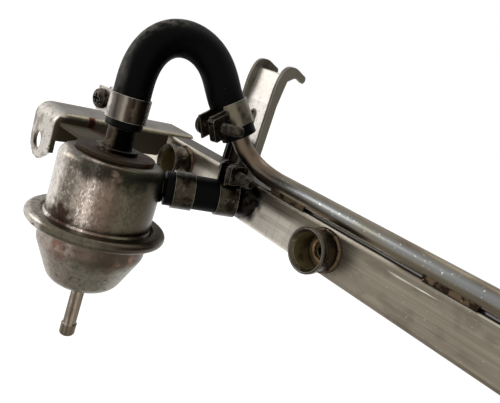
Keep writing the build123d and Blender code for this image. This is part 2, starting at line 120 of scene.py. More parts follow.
lamp("key_lamp", (-0.75, -0.75, 0.45), 0.4, 3.0)
lamp("top_lamp", (-0.1, 0.35, 0.95), 0.5, 1.6)
world = bpy.data.worlds.new("studio")
bpy.context.scene.world = world
tree = node_tree(world)
strength = tree.nodes.new("ShaderNodeMapRange")
strength.inputs["To Min"].default_value = SHADE_LIGHT
tree.links.new(clear_rays(tree), strength.inputs["Value"])
background = tree.nodes.new("ShaderNodeBackground")
background.inputs["Color"].default_value = (1, 1, 1, 1)
tree.links.new(strength.outputs["Result"], background.inputs["Strength"])
out = tree.nodes.new("ShaderNodeOutputWorld")
tree.links.new(background.outputs[0], out.inputs["Surface"])

FLOOR_Z = -0.24
FLOOR_SIDE = 40.0
FLOOR_GREY = (0.55, 0.55, 0.55, 1)
FLOOR_GLOW = 0.74
floor_white = bpy.data.materials.new("floor")
tree = node_tree(floor_white)
matt = tree.nodes.new("ShaderNodeBsdfDiffuse")
matt.inputs["Color"].default_value = FLOOR_GREY
light = tree.nodes.new("ShaderNodeEmission")
light.inputs["Strength"].default_value = FLOOR_GLOW
both = tree.nodes.new("ShaderNodeAddShader")
tree.links.new(matt.outputs[0], both.inputs[0])
tree.links.new(light.outputs[0], both.inputs[1])
pick = tree.nodes.new("ShaderNodeMixShader")
tree.links.new(clear_rays(tree), pick.inputs[0])
tree.links.new(matt.outputs[0], pick.inputs[1])
tree.links.new(both.outputs[0], pick.inputs[2])
shown(tree, pick)
stage_sheet("floor", Matrix.Translation((0, 0, FLOOR_Z)), FLOOR_SIDE, FLOOR_SIDE, floor_white)

CARD_LIGHT = (1, 0.97, 0.93, 1)


def card(name, direction, distance, width, height, brightness):
    """A grey card out of sight, which only the metal mirrors."""
    glow = bpy.data.materials.new(name)
    tree = node_tree(glow)
    light = tree.nodes.new("ShaderNodeEmission")
    light.inputs["Color"].default_value = CARD_LIGHT
    light.inputs["Strength"].default_value = brightness
    shown(tree, light)
    middle = AIM + Vector(direction).normalized() * distance
    facing = (AIM - middle).normalized()
    side = facing.cross(UPWARD).normalized()
    turn = Matrix((side, facing.cross(side), facing)).transposed()
    sheet = stage_sheet(name, Matrix.Translation(middle) @ turn.to_4x4(), width, height, glow)
    sheet.visible_camera = False
    sheet.visible_diffuse = False
    sheet.visible_transmission = False
    sheet.visible_shadow = False


card("right_card", (0.66, 0.72, 0.05), 0.9, 1.5, 1.1, 0.05)
card("back_card", (-0.75, 0.66, 0.02), 1.3, 1.1, 0.7, 0.25)
card("low_card", (0.25, -0.25, -0.93), 0.2, 0.5, 0.3, 0.6)

# ---- rail tube, its end caps, supply stub and right mounting tab ---------------------------------
# A drawn rectangular steel tube, closed by caps welded into its ends, with the supply stub and a
# folded mounting tab welded on. Its bare steel is brushed lengthwise and warm grey, with scratches and
# grime, a dark patch of soot and painted shade round the stub of the inlet hose, painted shade on the top
# face under the pipe, a painted highlight along the front top corner and painted light low on the left.
MIDDLE = Vector((0, 0, 0))
FORWARD = Vector((0, -1, 0))
RIGHTWARD = Vector((1, 0, 0))
EVENLY = (1, 1, 1)
EDGE_SAMPLES = 4
MIX_SHARE, MIX_UNDER, MIX_OVER, MIX_RESULT = 0, 6, 7, 2


def tint(red, green, blue):
    """The shader colour for a screen colour of 0 to 255."""
    return tuple((c / 255) ** 2.2 for c in (red, green, blue)) + (1.0,)


def grey(value):
    return (value, value, value, 1.0)


class Finish:
    """A material under work, whose patterns are laid out in metres on the part's own frame."""

    def __init__(self, name, metallic=1.0):
        self.material = bpy.data.materials.new(name)
        self.tree = node_tree(self.material)
        self.shader = self.tree.nodes.new("ShaderNodeBsdfPrincipled")
        self.shader.inputs["Metallic"].default_value = metallic
        shown(self.tree, self.shader)

    def place(self):
        return self.tree.nodes.new("ShaderNodeTexCoord").outputs["Object"]

    def add(self, first, second):
        return maths(self.tree, "ADD", first, second)

    def times(self, first, *others):
        for other in others:
            first = maths(self.tree, "MULTIPLY", first, other)
        return first

    def noise(self, size, stretch=EVENLY, detail=4.0, shift=0.0):
        """Cloudy noise whose blotches are about size metres across, longer where stretch is larger."""
        mapping = self.tree.nodes.new("ShaderNodeMapping")
        mapping.inputs["Location"].default_value = (shift, shift, shift)
        mapping.inputs["Scale"].default_value = tuple(1 / s for s in stretch)
        self.tree.links.new(self.place(), mapping.inputs["Vector"])
        texture = self.tree.nodes.new("ShaderNodeTexNoise")
        texture.inputs["Scale"].default_value = 1 / size
        texture.inputs["Detail"].default_value = detail
        self.tree.links.new(mapping.outputs[0], texture.inputs["Vector"])
        return texture.outputs[0]

    def fade(self, source, start, end, kind="SMOOTHSTEP"):
        """0 at start, 1 at end and smooth between."""
        node = self.tree.nodes.new("ShaderNodeMapRange")
        node.interpolation_type = kind
        node.inputs["From Min"].default_value = start
        node.inputs["From Max"].default_value = end
        self.tree.links.new(source, node.inputs["Value"])
        return node.outputs["Result"]

    def distance(self, centre):
        node = self.tree.nodes.new("ShaderNodeVectorMath")
        node.operation = "DISTANCE"
        self.tree.links.new(self.place(), node.inputs[0])
        node.inputs[1].default_value = centre
        return node.outputs["Value"]

    def reach(self, axis, origin=MIDDLE):
        """How far a point lies from origin along axis, in metres."""
        gap = self.tree.nodes.new("ShaderNodeVectorMath")
        gap.operation = "SUBTRACT"
        self.tree.links.new(self.place(), gap.inputs[0])
        gap.inputs[1].default_value = origin
        dot = self.tree.nodes.new("ShaderNodeVectorMath")
        dot.operation = "DOT_PRODUCT"
        self.tree.links.new(gap.outputs[0], dot.inputs[0])
        dot.inputs[1].default_value = axis
        return dot.outputs["Value"]

    def shaken(self, source, cloud, amount):
        """The source pushed either way by the cloud, so that its fades get torn edges."""
        return self.add(source, self.times(self.add(cloud, -0.5), amount))

    def spot(self, centre, radius, ragged, grain):
        """1 at a place and 0 beyond radius, with a torn edge."""
        torn = self.shaken(self.distance(centre), self.noise(grain), 2 * radius * ragged)
        return self.fade(torn, radius, radius * 0.45)

    def layered(self, ground, *layers):
        """A colour or grey value with each (mask, colour) laid over the one before it."""
        colour = ground
        for mask, over in layers:
            mix = self.tree.nodes.new("ShaderNodeMix")
            mix.data_type = "RGBA"
            join(self.tree, mask, mix.inputs[MIX_SHARE])
            join(self.tree, colour, mix.inputs[MIX_UNDER])
            join(self.tree, over, mix.inputs[MIX_OVER])
            colour = mix.outputs[MIX_RESULT]
        return colour

    def metal(self, value):
        join(self.tree, value, self.shader.inputs["Metallic"])

    def surface(self, colour, roughness, height=None, depth=0.0001, edge=0.0003):
        """Sets colour, roughness and a relief of depth metres, with edges worn round."""
        join(self.tree, colour, self.shader.inputs["Base Color"])
        join(self.tree, roughness, self.shader.inputs["Roughness"])
        worn = self.tree.nodes.new("ShaderNodeBevel")
        worn.samples = EDGE_SAMPLES
        worn.inputs["Radius"].default_value = edge
        normal = worn.outputs[0]
        if height is not None:
            bump = self.tree.nodes.new("ShaderNodeBump")
            bump.inputs["Distance"].default_value = depth
            self.tree.links.new(height, bump.inputs["Height"])
            self.tree.links.new(normal, bump.inputs["Normal"])
            normal = bump.outputs[0]
        self.tree.links.new(normal, self.shader.inputs["Normal"])

    def dress(self, *names):
        """Gives these nodes of the frame the material."""
        for name in names:
            slots = nodes[name].data.materials
            for index in range(len(slots)):
                slots[index] = self.material


STUB_PLACE = Vector((-0.0495, 0.0, 0.003))
STUB_SOOT_AND_SHADE = 0.0145
RAIL_TOP = 0.0090
RAIL_CORNER = 0.0084
steel = Finish("rail_steel")
height = steel.reach(UPWARD)
streaks = steel.noise(0.0012, (40, 1, 1), 5.0)
patches = steel.noise(0.018, (2.5, 1, 1), 3.0, 0.3)
grime = steel.noise(0.006, (1.6, 1, 1), 5.0, 4.4)
uprights = steel.noise(0.0014, (1, 1, 12), 4.0, 0.8)
fine_lines = steel.fade(steel.noise(0.0011, (30, 1, 1), 3.0, 1.7), 0.66, 0.74)
scratches = steel.times(fine_lines, steel.fade(patches, 0.5, 0.62))
flecks = steel.fade(steel.noise(0.0009, EVENLY, 2.0, 2.1), 0.7, 0.76)
# painted light: low on the left, the front face is painted nearly white with pale upright streaks, and
# made less metallic so that the lamps light it
glow_left = steel.fade(steel.reach(-RIGHTWARD), 0.008, 0.022)
glow_low = steel.fade(steel.add(height, steel.times(patches, 0.008)), 0.0095, 0.0045)
glow_front = steel.fade(steel.reach(FORWARD), -0.004, -0.001)
painted_glow = steel.times(glow_left, glow_low, glow_front)
# painted shade: the front face is darker towards the top, and the top face under the pipe is darker still
face_top = steel.times(steel.fade(height, 0.004, 0.0088), 0.4)
top_face_shade = steel.times(steel.fade(height, RAIL_TOP, RAIL_TOP + 0.0004), 0.85)
# a dark patch round the supply stub: soot and painted shade
soot_and_shade = steel.spot(STUB_PLACE, STUB_SOOT_AND_SHADE, 0.7, 0.005)
# painted highlight: a bright line along the front top corner, broken up by the patches
along_corner = steel.fade(height, RAIL_CORNER, RAIL_CORNER + 0.0005)
front_corner = steel.times(along_corner, steel.fade(steel.reach(-FORWARD), 0.0012, 0.0007))
corner_highlight = steel.times(front_corner, steel.fade(patches, 0.72, 0.4))
colour = steel.layered(
    tint(124, 116, 103),
    (steel.fade(streaks, 0.35, 0.7), tint(142, 134, 120)),
    (steel.fade(patches, 0.5, 0.75), tint(108, 101, 90)),
    (steel.times(steel.fade(grime, 0.5, 0.66), 0.35), tint(88, 80, 69)),
    (face_top, tint(84, 77, 67)),
    (top_face_shade, tint(66, 61, 53)),
    (steel.times(painted_glow, steel.fade(uprights, 0.1, 0.45)), tint(255, 246, 230)),
    (steel.times(painted_glow, steel.fade(streaks, 0.5, 0.62), 0.45), tint(176, 164, 146)),
    (steel.times(painted_glow, steel.fade(uprights, 0.56, 0.66), 0.4), tint(190, 180, 164)),
    (flecks, tint(168, 160, 148)),
    (scratches, tint(225, 220, 210)),
    (corner_highlight, tint(206, 200, 188)),
    (soot_and_shade, tint(26, 21, 18))
)
roughness = steel.layered(grey(0.34), (steel.fade(streaks, 0.3, 0.7), grey(0.46)), (scratches, grey(0.3)))
steel.metal(steel.layered(grey(1.0), (painted_glow, grey(0.3))))
steel.surface(colour, roughness, streaks, 0.00006, 0.0004)
steel.dress("rail_tube", "rail_end_cap_left", "rail_end_cap_right", "supply_stub", "mounting_tab_right")

# ---- injector cups and their seats ---------------------------------------------------------------
# Four cups turned from steel bar, each pushed into the rail's face and brazed round its foot.
# The lip is worn bright and the bore is stained brown. A raised ring round the port, on the floor
# of each cup, takes the injector.
CUP_X = (-0.1, 0.0, 0.1, 0.2)
CUP_PITCH = 0.1
CUP_BORE = 0.0068
CUP_BODY = 0.0078
CUP_LIP = 0.0098
CUP_FOOT = 0.0055
EDGE_MASK_SAMPLES = 6


def sharp_edges(finish, radius, flat=0.985, sharp=0.9):
    """1 on the sharp edges within radius metres and 0 on open faces; the finishes paint highlight lines
    along edges with it, and shade lines on the bracket.
    """
    worn = finish.tree.nodes.new("ShaderNodeBevel")
    worn.samples = EDGE_MASK_SAMPLES
    worn.inputs["Radius"].default_value = radius
    facing = finish.tree.nodes.new("ShaderNodeNewGeometry").outputs["Normal"]
    dot = finish.tree.nodes.new("ShaderNodeVectorMath")
    dot.operation = "DOT_PRODUCT"
    finish.tree.links.new(worn.outputs[0], dot.inputs[0])
    finish.tree.links.new(facing, dot.inputs[1])
    return finish.fade(dot.outputs["Value"], flat, sharp)


def hypotenuse(finish, first, second):
    squares = finish.add(finish.times(first, first), finish.times(second, second))
    return maths(finish.tree, "SQRT", squares)


cup = Finish("cup_steel")
cloud = cup.noise(0.006, EVENLY, 5.0, 0.9)
fine = cup.noise(0.0014, EVENLY, 3.0, 0.2)
out_front = cup.reach(FORWARD)
lip = cup.fade(out_front, CUP_LIP, CUP_LIP + 0.0006)
foot = cup.fade(cup.add(out_front, cup.times(cloud, 0.004)), CUP_FOOT, CUP_FOOT - 0.002)
beside = maths(cup.tree, "PINGPONG", cup.reach(RIGHTWARD), CUP_PITCH / 2)
off_axis = hypotenuse(cup, beside, cup.reach(UPWARD))
inside = cup.fade(off_axis, CUP_BORE + 0.0002, CUP_BORE)
lip_ring = cup.times(lip, cup.fade(off_axis, CUP_BORE + 0.0006, CUP_BORE + 0.0004))
colour = cup.layered(
    tint(74, 67, 55),
    (cup.fade(cloud, 0.42, 0.6), tint(44, 37, 29)),
    (cup.fade(fine, 0.62, 0.72), tint(140, 130, 114)),
    (foot, tint(30, 25, 20)),
    (lip, tint(72, 66, 55)),
    (lip_ring, tint(236, 232, 222)),
    # painted highlight along the sharp edges
    (cup.times(sharp_edges(cup, 0.0003), 0.5), tint(206, 200, 190)),
    (inside, tint(132, 118, 84)),
    (cup.times(inside, cup.fade(cloud, 0.42, 0.6)), tint(84, 74, 48))
)
cup.metal(cup.layered(grey(1.0), (inside, grey(0.35))))
cup.surface(colour, cup.layered(grey(0.38), (lip, grey(0.28))), fine, 0.00008, 0.0002)
cup.dress("injector_cup_1", "injector_cup_2", "injector_cup_3", "injector_cup_4")

braze = Finish("braze")
cloud = braze.noise(0.003, EVENLY, 4.0, 0.5)
grains = braze.noise(0.0015, EVENLY, 3.0, 3.0)
colour = braze.layered(
    tint(92, 78, 62),
    (braze.fade(cloud, 0.45, 0.6), tint(44, 36, 30)),
    (braze.fade(grains, 0.62, 0.72), tint(150, 128, 96))
)
braze.surface(colour, 0.5, cloud, 0.0003)

bore_brown = Finish("bore_brown", 0.35)
cloud = bore_brown.noise(0.003, EVENLY, 4.0, 0.4)
colour = bore_brown.layered(tint(178, 146, 112), (bore_brown.fade(cloud, 0.4, 0.62), tint(118, 92, 66)))
bore_brown.surface(colour, 0.42, cloud, 0.0001)

BRAZE_RADIUS = 0.0011
BRAZE_HEIGHT = 0.0004
BRAZE_SIDES = 8
BRAZE_STEPS = 72
BRAZE_UNEVEN = 0.25
LUMPS_PER_METRE = 400
SEAT_STEPS = 64
SEAT_OUTLINE = (
    (0.0036, 0.0), (0.0056, 0.0), (0.0056, 0.0007), (0.0052, 0.0011), (0.0041, 0.0011), (0.0036, 0.0007)
)


def stand_at(origin, axis):
    """A placement at origin whose Z runs along axis."""
    up = Vector(axis).normalized()
    side = (RIGHTWARD - up * up.dot(RIGHTWARD)).normalized()
    return Matrix.Translation(origin) @ Matrix((side, up.cross(side), up)).transposed().to_4x4()


def new_piece(name, work, stand, finish):
    """A smooth piece that moves with the rail, with its Z along the Z of stand."""
    work.transform(stand)
    bmesh.ops.recalc_face_normals(work, faces=work.faces[:])
    mesh = bpy.data.meshes.new(name)
    work.to_mesh(mesh)
    work.free()
    for face in mesh.polygons:
        face.use_smooth = True
    mesh.materials.append(finish.material)
    piece = bpy.data.objects.new(name, mesh)
    bpy.context.collection.objects.link(piece)
    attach(piece, "rail")


def closed_outline(work, outline):
    """A loop of edges through these (radius, height) corners."""
    corners = [work.verts.new((radius, 0, height)) for radius, height in outline]
    for corner, following in zip(corners, corners[1:] + corners[:1]):
        work.edges.new((corner, following))


def full_turn(work, steps):
    """Spins the outline once round Z and closes the seam."""
    outline = work.verts[:] + work.edges[:]
    bmesh.ops.spin(
        work, geom=outline, cent=MIDDLE, axis=UPWARD, angle=2 * math.pi, steps=steps, use_merge=True
    )


def braze_bead(name, stand, seed):
    """An uneven bead of braze round a cup, different for each seed."""
    work = bmesh.new()
    upright = Matrix.Translation((CUP_BODY, 0, BRAZE_HEIGHT)) @ Matrix.Rotation(math.pi / 2, 4, "X")
    bmesh.ops.create_circle(work, segments=BRAZE_SIDES, radius=BRAZE_RADIUS, matrix=upright)
    full_turn(work, BRAZE_STEPS)
    for corner in work.verts:
        centre = corner.co.xy.to_3d().normalized() * CUP_BODY + UPWARD * BRAZE_HEIGHT
        lump = noise_field.noise((stand @ centre) * LUMPS_PER_METRE + RIGHTWARD * seed)
        corner.co = centre + (corner.co - centre) * (1 + BRAZE_UNEVEN * lump)
    new_piece(name, work, stand, braze)


def seat_ring(name, stand):
    work = bmesh.new()
    closed_outline(work, SEAT_OUTLINE)
    full_turn(work, SEAT_STEPS)
    new_piece(name, work, stand, bore_brown)


for number, x in enumerate(CUP_X, 1):
    stand = stand_at((x, 0, 0), FORWARD)
    braze_bead("cup_braze_" + str(number), stand, number)
    seat_ring("cup_seat_" + str(number), stand)

# ---- return pipe and its saddles -----------------------------------------------------------------
# Drawn steel tube, bent forward and up at its left end, which lies in four saddles on the rail's
# top and is brazed to them. It is brown-grey, with white flecks in a blue-grey band along its middle
# and a painted highlight line below.
PIPE_MIDDLE = Vector((0, 0, 0.0141))
BROWNED_FROM = 0.03
pipe = Finish("pipe_steel")
cloud = pipe.noise(0.008, (3, 1, 1), 4.0, 0.6)
height = pipe.reach(UPWARD, PIPE_MIDDLE)
tone_bands = pipe.times(pipe.fade(height, -0.001, 0.0006), pipe.fade(height, 0.0036, 0.002))
# painted highlight: a bright line along the pipe below its middle
highlight_line = pipe.times(pipe.fade(height, -0.0026, -0.003), pipe.fade(height, -0.0038, -0.0034))
flecks = pipe.times(pipe.fade(pipe.noise(0.0009, (1.6, 1, 1), 2.0, 4.0), 0.66, 0.72), tone_bands)
browned = pipe.fade(pipe.reach(-RIGHTWARD), BROWNED_FROM, BROWNED_FROM + 0.01)
colour = pipe.layered(
    tint(114, 106, 91),
    (pipe.fade(cloud, 0.45, 0.65), tint(92, 81, 67)),
    (pipe.times(tone_bands, pipe.fade(cloud, 0.3, 0.5)), tint(116, 117, 115)),
    (flecks, tint(190, 190, 186)),
    (pipe.times(browned, 0.8), tint(96, 82, 69)),
    (pipe.times(highlight_line, pipe.fade(cloud, 0.35, 0.5)), tint(220, 212, 196))
)
pipe.surface(colour, 0.33, pipe.noise(0.002, (8, 1, 1), 3.0), 0.00003)
pipe.dress("return_pipe")
braze.dress("pipe_saddle_1", "pipe_saddle_2", "pipe_saddle_3", "pipe_saddle_4")

# ---- regulator bracket ---------------------------------------------------------------------------
# One folded steel sheet: an arm with a web, welded to the rail, a scratched tab with the screw hole
# in front, and a tongue whose round seat grips the regulator's neck. It is grey above, painted nearly
# white on the tab as painted light, painted darker with shade low down the web below a run of rust,
# dark round the seat with rust and painted shade, and painted darker along the sheet's edges as shade.
WEB_FROM = -0.1182
WEB_DARK_BELOW = 0.0095
TAB_FROM = 0.0565
RUST_RUN_Y = -0.0435
RUST_RUN_FROM = -0.1185
TONGUE = Vector((-0.0767, -0.0516, 0.0067))
TONGUE_RADIUS = 0.024
bracket = Finish("bracket_steel")
cloud = bracket.noise(0.012, EVENLY, 4.0, 0.1)
fine = bracket.noise(0.0016, (1, 1, 3), 3.0, 1.1)
rightward = bracket.reach(RIGHTWARD)
on_web = bracket.fade(rightward, WEB_FROM, WEB_FROM + 0.001)
# painted light: the tab in front is painted nearly white, as a lit copy of the sheet's colour
lit_tab = bracket.fade(bracket.reach(FORWARD), TAB_FROM, TAB_FROM + 0.004)
from_run = bracket.add(bracket.reach(-FORWARD), -RUST_RUN_Y)
torn_run = bracket.add(from_run, bracket.times(bracket.noise(0.003), 0.003))
rust_run = bracket.times(
    bracket.fade(maths(bracket.tree, "ABSOLUTE", torn_run), 0.0022, 0.0008),
    bracket.fade(rightward, RUST_RUN_FROM, RUST_RUN_FROM + 0.001)
)
# dark round the seat: rust and painted shade from the neck
seat_rust_and_shade = bracket.spot(TONGUE, TONGUE_RADIUS, 0.2, 0.004)
rusty = bracket.times(seat_rust_and_shade, bracket.fade(bracket.noise(0.005, EVENLY, 5.0, 0.35), 0.4, 0.62))
scratches = bracket.fade(bracket.noise(0.0009, (1, 4, 1), 4.0, 5.2), 0.6, 0.68)
smears = bracket.noise(0.004, (1, 1, 2), 5.0, 2.6)
# painted shade: the web is darker below WEB_DARK_BELOW
below = bracket.fade(bracket.reach(UPWARD), WEB_DARK_BELOW, WEB_DARK_BELOW - 0.001)
shaded_low_web = bracket.times(on_web, below)
# painted shade: darker lines along the sheet's edges
shaded_sheet_edges = bracket.times(sharp_edges(bracket, 0.0016, 0.99, 0.95), bracket.fade(fine, 0.42, 0.52))
colour = bracket.layered(
    tint(128, 123, 115),
    (bracket.fade(cloud, 0.45, 0.65), tint(108, 102, 93)),
    (on_web, tint(120, 113, 96)),
    (bracket.times(on_web, bracket.fade(fine, 0.52, 0.68)), tint(150, 143, 127)),
    (lit_tab, tint(190, 184, 175)),
    (bracket.times(lit_tab, bracket.fade(smears, 0.5, 0.62)), tint(142, 134, 122)),
    (bracket.times(lit_tab, scratches), tint(74, 64, 54)),
    (shaded_low_web, tint(76, 70, 58)),
    (seat_rust_and_shade, tint(60, 53, 45)),
    (rusty, tint(62, 51, 41)),
    (rust_run, tint(60, 36, 26)),
    (bracket.times(shaded_sheet_edges, 0.75), tint(74, 62, 48))
)
roughness = bracket.layered(grey(0.36), (shaded_low_web, grey(0.75)), (rusty, grey(0.62)))
bracket.surface(colour, roughness, fine, 0.00008, 0.0004)
bracket.dress("regulator_bracket")

# ---- hanger bracket ------------------------------------------------------------------------------
# One plated steel sheet pressed into an upright channel, with a stiffening groove down its web and
# two sides that end in hooks, welded to the back of the rail. The web is bright with dark specks and a
# groove painted dark as shade, the sides are brown and painted darker as shade with painted highlights on
# their edges, and the foot is darkened by soot and painted shade.
HANGER_MIDDLE = Vector((-0.07815, 0, 0))
HANGER_HALF = 0.0086
GROOVE_MIDDLE = Vector((-0.0798, 0, 0))
GROOVE_END = Vector((0, 0, 0.0350))
GROOVE_HALF = 0.0031
WEB_TOP = 0.0562
WEB_RIGHT = -0.0677
SOOT_AND_SHADE_BELOW = 0.0245
SOOT_AND_SHADE_BEFORE = 0.0172
hanger = Finish("hanger_steel")
cloud = hanger.noise(0.009, (1, 1, 2), 4.0, 0.8)
fine = hanger.noise(0.0011, (1, 1, 1.3), 4.0, 3.1)
specks = hanger.fade(hanger.noise(0.0012, (1, 1, 1.5), 2.0, 6.0), 0.67, 0.73)
height = hanger.reach(UPWARD)
off_middle = maths(hanger.tree, "ABSOLUTE", hanger.reach(RIGHTWARD, HANGER_MIDDLE))
# painted shade: the sides are painted darker and browner than the web, and made less metallic
sides = hanger.fade(off_middle, HANGER_HALF, HANGER_HALF + 0.0008)
past_end = maths(hanger.tree, "MAXIMUM", hanger.reach(UPWARD, GROOVE_END))
from_groove = hypotenuse(hanger, hanger.reach(RIGHTWARD, GROOVE_MIDDLE), past_end)
# painted shade: the stiffening groove is painted dark
groove_shade = hanger.fade(from_groove, GROOVE_HALF, GROOVE_HALF - 0.0012)
web_top = hanger.fade(height, WEB_TOP, WEB_TOP + 0.0006)
on_front = hanger.fade(hanger.reach(-FORWARD), SOOT_AND_SHADE_BEFORE, SOOT_AND_SHADE_BEFORE - 0.0003)
# the foot darkened by soot and painted shade behind the nut
soot_and_shade = hanger.times(hanger.fade(height, SOOT_AND_SHADE_BELOW, SOOT_AND_SHADE_BELOW - 0.004), on_front)
right_edge = hanger.fade(hanger.reach(RIGHTWARD), WEB_RIGHT, WEB_RIGHT + 0.0003)
colour = hanger.layered(
    tint(252, 247, 239),
    (hanger.fade(cloud, 0.48, 0.66), tint(226, 219, 208)),
    (hanger.times(hanger.fade(fine, 0.5, 0.62), 0.4), tint(196, 188, 176)),
    (specks, tint(104, 96, 84)),
    (hanger.times(hanger.fade(height, 0.040, 0.045), 0.6), tint(212, 206, 196)),
    (groove_shade, tint(92, 86, 75)),
    (hanger.times(web_top, 0.6), tint(140, 134, 124)),
    (sides, tint(88, 81, 70)),
    (hanger.times(sides, hanger.fade(cloud, 0.5, 0.65)), tint(68, 61, 51)),
    (soot_and_shade, tint(32, 28, 24)),
    (hanger.times(right_edge, 0.7), tint(150, 142, 126)),
    # painted highlight along the edges of the sides
    (hanger.times(sides, sharp_edges(hanger, 0.0006), 0.6), tint(190, 183, 170))
)
hanger.metal(hanger.layered(grey(0.75), (sides, grey(0.35))))
hanger.surface(colour, hanger.layered(grey(0.5), (sides, grey(0.45))), fine, 0.00006, 0.0005)
hanger.dress("hanger_bracket")

# ---- regulator can -------------------------------------------------------------------------------
# A deep-drawn steel cup that holds the fuel above the diaphragm, with its rim caught in the bowl's
# rolled flange. Its plating is mottled and black under the shoulder, and it is painted with light and
# shade
# across its side: bright on the left, a pinkish painted highlight in the middle with painted highlight
# streaks and glints to its left, and green-grey painted shade to the right.
REGULATOR = Vector((-0.0759, -0.0526, -0.0242))
REGULATOR_UP = Vector((-0.0253, 0.0331, 0.9991))
ACROSS = Vector((0.487, 0.873, 0.0))
CAN_HALF = 0.022
CAN_LID = 0.0292
SHOULDER_DARK_FROM = 0.018
RUST_PLACE = REGULATOR + ACROSS * -0.0135 + Vector((0.014, -0.012, 0.0045))
RUST_RADIUS = 0.0105
# painted light and shade across the can's side: bright on the left, a pinkish painted highlight in the
# middle and dark green-grey shade to the right
CAN_LIGHT_TONES = (
    (0.02, (206, 199, 190)), (0.085, (206, 198, 189)), (0.125, (150, 141, 131)), (0.17, (104, 96, 87)),
    (0.22, (112, 103, 93)), (0.27, (150, 139, 127)), (0.335, (166, 149, 137)), (0.38, (206, 188, 174)),
    (0.42, (150, 133, 121)), (0.47, (116, 99, 88)), (0.53, (106, 90, 79)), (0.6, (90, 79, 68)),
    (0.68, (100, 94, 79)), (0.76, (90, 85, 71)), (0.86, (74, 68, 55)), (1.0, (58, 48, 38))
)


def tones(finish, source, half, stops):
    """Colours that follow one another as source runs from -half to half."""
    ramp = finish.tree.nodes.new("ShaderNodeValToRGB")
    finish.tree.links.new(finish.fade(source, -half, half, "LINEAR"), ramp.inputs[0])
    ramp.color_ramp.interpolation = "EASE"
    while len(ramp.color_ramp.elements) < len(stops):
        ramp.color_ramp.elements.new(0.5)
    for element, (position, shade) in zip(ramp.color_ramp.elements, stops):
        element.position = position
        element.color = tint(*shade)
    return ramp.outputs[0]


can = Finish("can_steel")
cloud = can.noise(0.006, (1, 1, 1.6), 5.0, 0.15)
grit = can.noise(0.0012, (1, 1, 1.4), 4.0, 0.45)
runs = can.noise(0.0016, (1, 1, 9), 3.0, 0.95)
sparkle = can.noise(0.0006, (1, 1, 2), 3.0, 2.4)
up = can.reach(REGULATOR_UP, REGULATOR)
side = can.reach(ACROSS, REGULATOR)
# the can's colour across its side: its plating with painted light and shade
tone_bands = tones(can, can.shaken(side, cloud, 0.004), CAN_HALF, CAN_LIGHT_TONES)
# a dark green-black band under the shoulder
shoulder_dark_band = can.times(
    can.fade(can.shaken(up, cloud, 0.016), SHOULDER_DARK_FROM, SHOULDER_DARK_FROM + 0.008),
    can.fade(up, CAN_LID + 0.0004, CAN_LID - 0.0007),
    can.fade(side, -0.0165, -0.009),
    can.fade(can.noise(0.003, (2, 2, 1), 5.0, 0.5), 0.22, 0.44)
)
# painted highlight: pale upright streaks on the lit left side
highlight_runs = can.times(can.fade(runs, 0.5, 0.75), can.fade(side, 0.006, 0.001), 0.2)
# painted glints: fine light specks on the left, and brighter ones in a strip left of the pinkish painted
# highlight
glint_specks = can.times(can.fade(sparkle, 0.5, 0.7), can.fade(side, 0.0025, -0.004))
glint_strip = can.times(can.fade(side, -0.0095, -0.0065), can.fade(side, -0.0025, -0.005))
glitter = can.times(can.fade(sparkle, 0.54, 0.64), glint_strip)
low_rust = can.spot(RUST_PLACE, RUST_RADIUS, 0.7, 0.003)
lid = can.fade(up, CAN_LID, CAN_LID + 0.0005)
colour = can.layered(
    tone_bands,
    (highlight_runs, tint(176, 166, 154)),
    (can.times(can.fade(grit, 0.44, 0.64), 0.4), tint(66, 58, 49)),
    (can.times(glint_specks, 0.35), tint(214, 204, 192)),
    (glitter, tint(240, 234, 228)),
    (can.times(shoulder_dark_band, 0.9), tint(34, 35, 27)),
    (lid, tint(70, 62, 51)),
    (can.times(low_rust, 0.9), tint(58, 42, 34))
)
roughness = can.layered(grey(0.3), (shoulder_dark_band, grey(0.5)), (low_rust, grey(0.6)))
can.surface(colour, roughness, grit, 0.0001)
can.dress("regulator_can")

# ---- regulator bowl with its rolled flange -------------------------------------------------------
# A drawn steel bowl round the spring, whose flange is rolled over the can's rim and the diaphragm.
# Its grey-brown plating is smoother than the can's, dark and pink below the flange and pale green-grey
# further down from a painted reflection, with painted light on the left, painted shade on the right,
# a painted highlight on the flange's left top and a little rust on the flange.
FLANGE_TOP = 0.0022
FLANGE_LEFT = -0.0185
BOWL_TOP = -0.0022
bowl = Finish("bowl_steel")
cloud = bowl.noise(0.007, EVENLY, 4.0, 0.65)
grit = bowl.noise(0.0018, EVENLY, 4.0, 0.25)
up = bowl.reach(REGULATOR_UP, REGULATOR)
side = bowl.reach(ACROSS, REGULATOR)
torn_up = bowl.shaken(up, cloud, 0.012)
on_bowl = bowl.fade(up, BOWL_TOP, BOWL_TOP - 0.0008)
collar_band = bowl.times(bowl.fade(torn_up, -0.0125, -0.0085), on_bowl)
# painted reflection: paler green-grey lower down
pale_reflection = bowl.fade(torn_up, -0.011, -0.016)
on_rim = bowl.fade(up, FLANGE_TOP, FLANGE_TOP + 0.0006)
rim_rust = bowl.times(bowl.fade(side, -0.006, -0.012), on_rim)
# painted highlight on the left of the flange's top
rim_highlight = bowl.times(
    bowl.fade(side, FLANGE_LEFT, FLANGE_LEFT - 0.003),
    bowl.fade(bowl.add(up, bowl.times(grit, 0.002)), FLANGE_TOP + 0.002, FLANGE_TOP + 0.0008)
)
